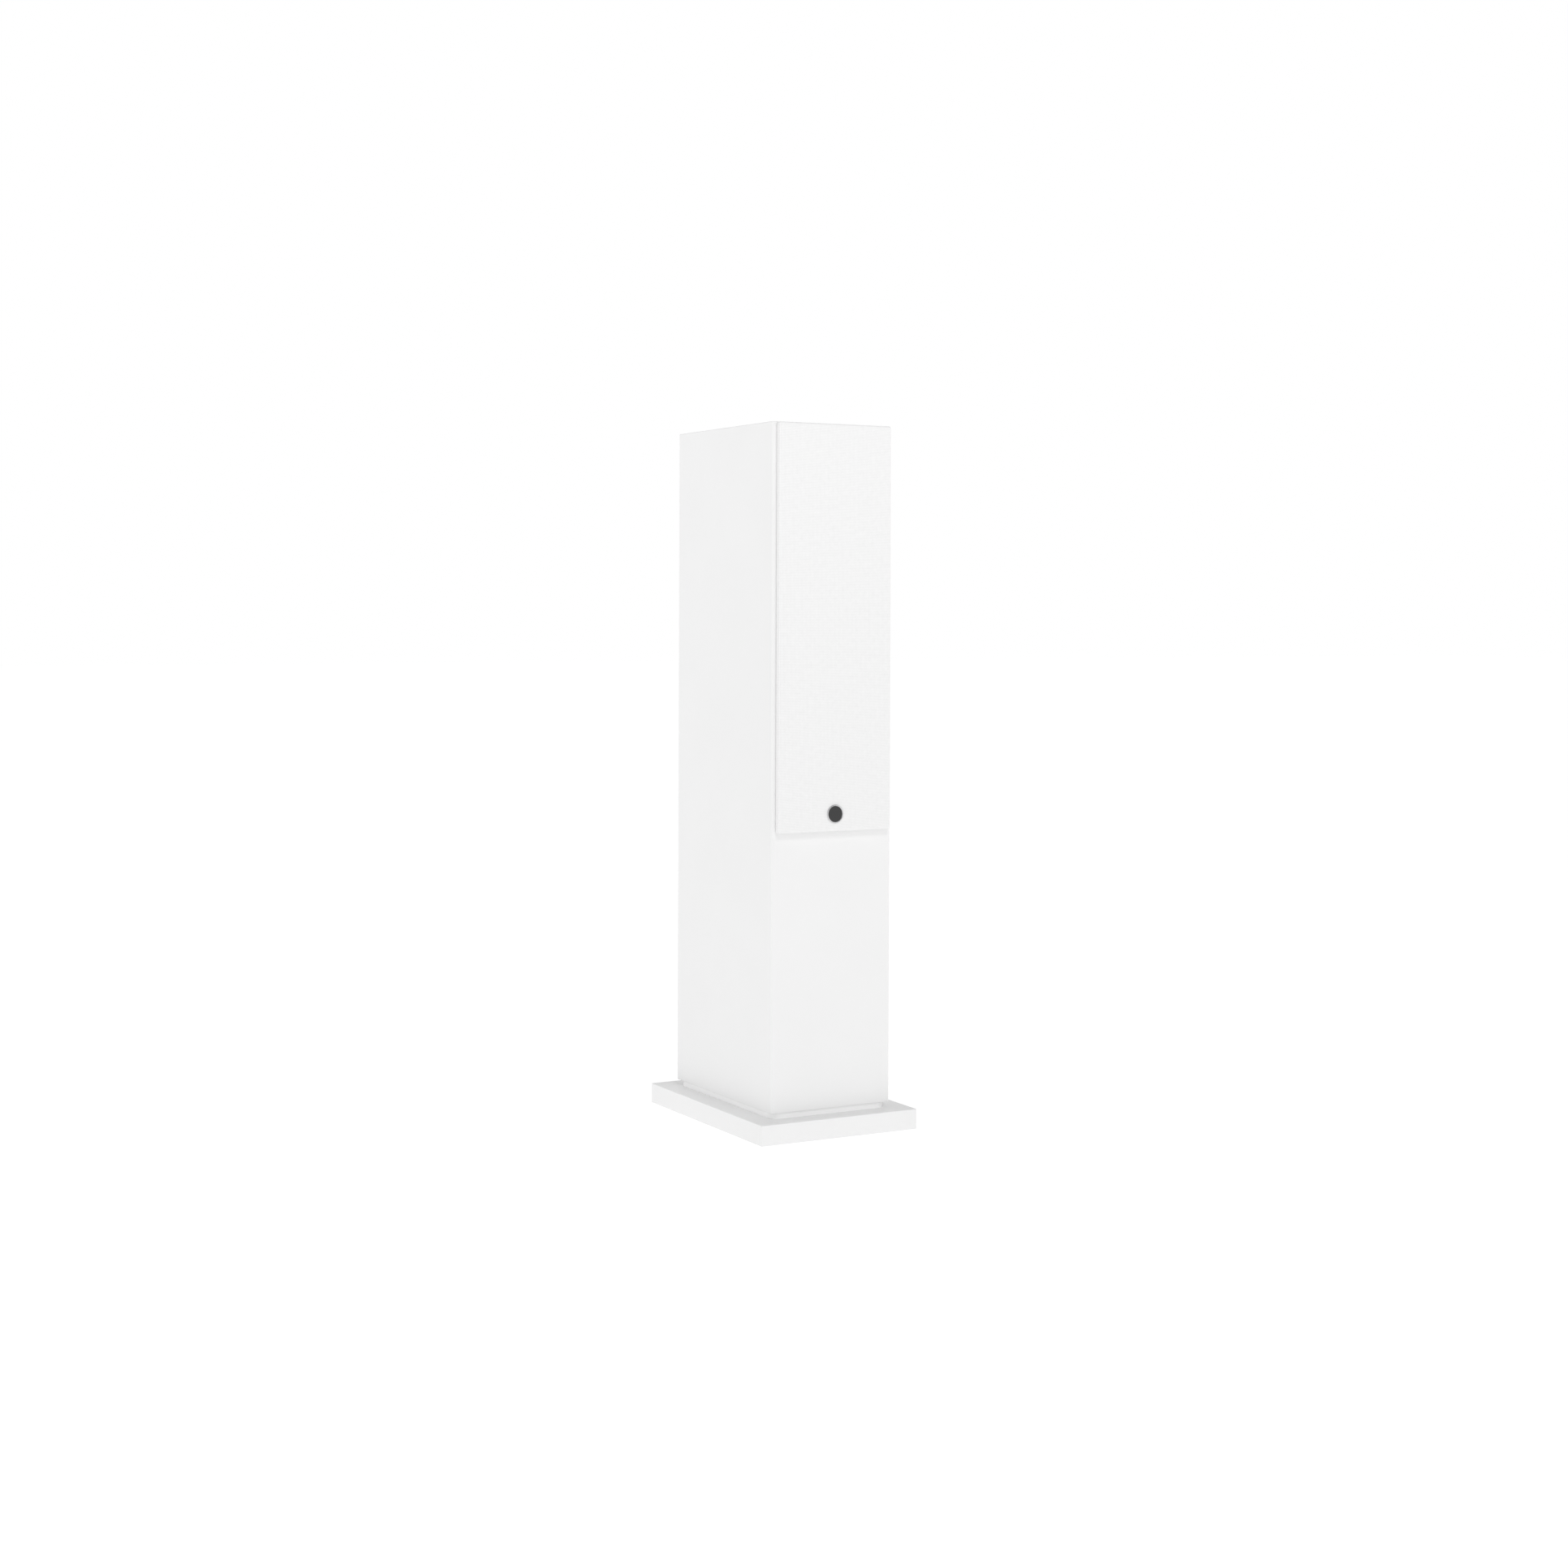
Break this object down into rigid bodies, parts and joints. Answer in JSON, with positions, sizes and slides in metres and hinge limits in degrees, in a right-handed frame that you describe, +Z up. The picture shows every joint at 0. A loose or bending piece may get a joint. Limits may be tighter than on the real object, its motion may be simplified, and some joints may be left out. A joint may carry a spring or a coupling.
{
  "type": "floorstanding loudspeaker",
  "caption": "Tall white floorstanding loudspeaker on a wider plinth, with a lift-off cloth grille over two woofers and a dome tweeter, rear port and binding posts.",
  "frame": {"origin": "on the floor, under the middle of the plinth", "axes": "+Z up, -Y towards the listener (front), +X to the right as seen from the front"},
  "size_m": [0.245, 0.34, 0.98],
  "materials": {
    "white_lacquer": "white satin lacquer on fibreboard",
    "raw_board": "raw fibreboard",
    "foam": "open felt",
    "zinc": "zinc plated",
    "brass": "turned",
    "rubber": "matt",
    "white_frame": "moulded",
    "grille_cloth": "stretched knit",
    "magnet": "nickel plated",
    "badge_black": "gloss enamel",
    "badge_rim": "bright plated",
    "cast_basket": "black powder coat on die casting",
    "surround": "moulded",
    "cone": "coated pulp",
    "dust_cap": "coated",
    "coil": "wound wire on a former",
    "spider": "impregnated cloth",
    "steel": "plated",
    "ferrite": "sintered",
    "black_screw": "black oxide",
    "faceplate": "fine texture",
    "dome": "coated silk",
    "black_plastic": "moulded",
    "terminal_plate": "brushed and anodised",
    "gold_post": "gold plated",
    "red_nut": "clear red cap over brass",
    "black_nut": "black cap over brass",
    "circuit_board": "solder mask",
    "copper_coil": "enamelled copper",
    "capacitor": "film sleeve",
    "resistor": "cement",
    "cable": "insulated"
  },
  "bodies": {
    "cabinet": {"left_panel": "white_lacquer", "right_panel": "white_lacquer", "top_panel": "white_lacquer", "bottom_panel": "white_lacquer", "front_baffle": "white_lacquer", "back_panel": "white_lacquer", "brace_upper": "raw_board", "brace_middle": "raw_board", "brace_lower": "raw_board", "damping_pads": "foam", "plinth": "white_lacquer", "neck_spacer": "white_lacquer", "plinth_bolts": "zinc", "threaded_inserts": "brass", "foot_pads": "rubber", "baffle_magnets": "magnet", "upper_woofer_basket": "cast_basket", "upper_woofer_surround": "surround", "upper_woofer_spider": "spider", "lower_woofer_basket": "cast_basket", "lower_woofer_surround": "surround", "lower_woofer_spider": "spider", "woofer_steel_plates": "steel", "woofer_magnets": "ferrite", "woofer_screws": "black_screw", "tweeter_faceplate": "faceplate", "tweeter_surround": "dome", "tweeter_steel_plates": "steel", "tweeter_magnet": "ferrite", "tweeter_rear_cup": "black_plastic", "tweeter_screws": "black_screw", "port_tube": "black_plastic", "terminal_plate": "terminal_plate", "terminal_screws": "black_screw", "post_bushes": "black_plastic", "post_spindles": "gold_post", "post_back_nuts": "brass", "crossover_board": "circuit_board", "crossover_pillars": "black_plastic", "crossover_inductors": "copper_coil", "crossover_capacitors": "capacitor", "crossover_resistors": "resistor", "internal_wiring": "cable"},
    "grille": {"grille_frame": "white_frame", "grille_cloth": "grille_cloth", "grille_magnets": "magnet", "badge_disc": "badge_black", "badge_rim": "badge_rim"},
    "upper_cone": {"upper_woofer_cone": "cone", "upper_woofer_dust_cap": "dust_cap", "upper_woofer_voice_coil": "coil"},
    "lower_cone": {"lower_woofer_cone": "cone", "lower_woofer_dust_cap": "dust_cap", "lower_woofer_voice_coil": "coil"},
    "dome": {"tweeter_dome": "dome", "tweeter_voice_coil": "coil"},
    "red_washer": {"red_clamp_washer": "gold_post"},
    "red_nut": {"red_binding_nut": "red_nut"},
    "black_washer": {"black_clamp_washer": "gold_post"},
    "black_nut": {"black_binding_nut": "black_nut"}
  },
  "joints": [
    {"name": "grille_pull", "type": "slide", "parent": "cabinet", "child": "grille", "axis": [0, -1, 0], "range_m": [0, 0.15]},
    {"name": "upper_woofer_stroke", "type": "slide", "parent": "cabinet", "child": "upper_cone", "axis": [0, -1, 0], "range_m": [-0.005, 0.005], "stiffness_N_per_m": 1000, "deforming": ["upper_woofer_surround", "upper_woofer_spider"]},
    {"name": "lower_woofer_stroke", "type": "slide", "parent": "cabinet", "child": "lower_cone", "axis": [0, -1, 0], "range_m": [-0.005, 0.005], "stiffness_N_per_m": 1000, "deforming": ["lower_woofer_surround", "lower_woofer_spider"]},
    {"name": "tweeter_stroke", "type": "slide", "parent": "cabinet", "child": "dome", "axis": [0, -1, 0], "range_m": [-0.0004, 0.0004], "stiffness_N_per_m": 100, "deforming": ["tweeter_surround"]},
    {"name": "red_washer_slide", "type": "slide", "parent": "cabinet", "child": "red_washer", "axis": [0, 1, 0], "range_m": [0, 0.006]},
    {"name": "red_nut_turn", "type": "hinge", "parent": "red_washer", "child": "red_nut", "pos_m": [-0.019, 0.1477, 0.138], "axis": [0, 1, 0], "range_deg": [0, 2161]},
    {"name": "black_washer_slide", "type": "slide", "parent": "cabinet", "child": "black_washer", "axis": [0, 1, 0], "range_m": [0, 0.006]},
    {"name": "black_nut_turn", "type": "hinge", "parent": "black_washer", "child": "black_nut", "pos_m": [0.019, 0.1477, 0.138], "axis": [0, 1, 0], "range_deg": [0, 2161]}
  ],
  "couplings": [
    {"joint": "red_nut_turn", "follows": "red_washer_slide", "rad_per_m": 6283.2},
    {"joint": "black_nut_turn", "follows": "black_washer_slide", "rad_per_m": 6283.2}
  ]
}
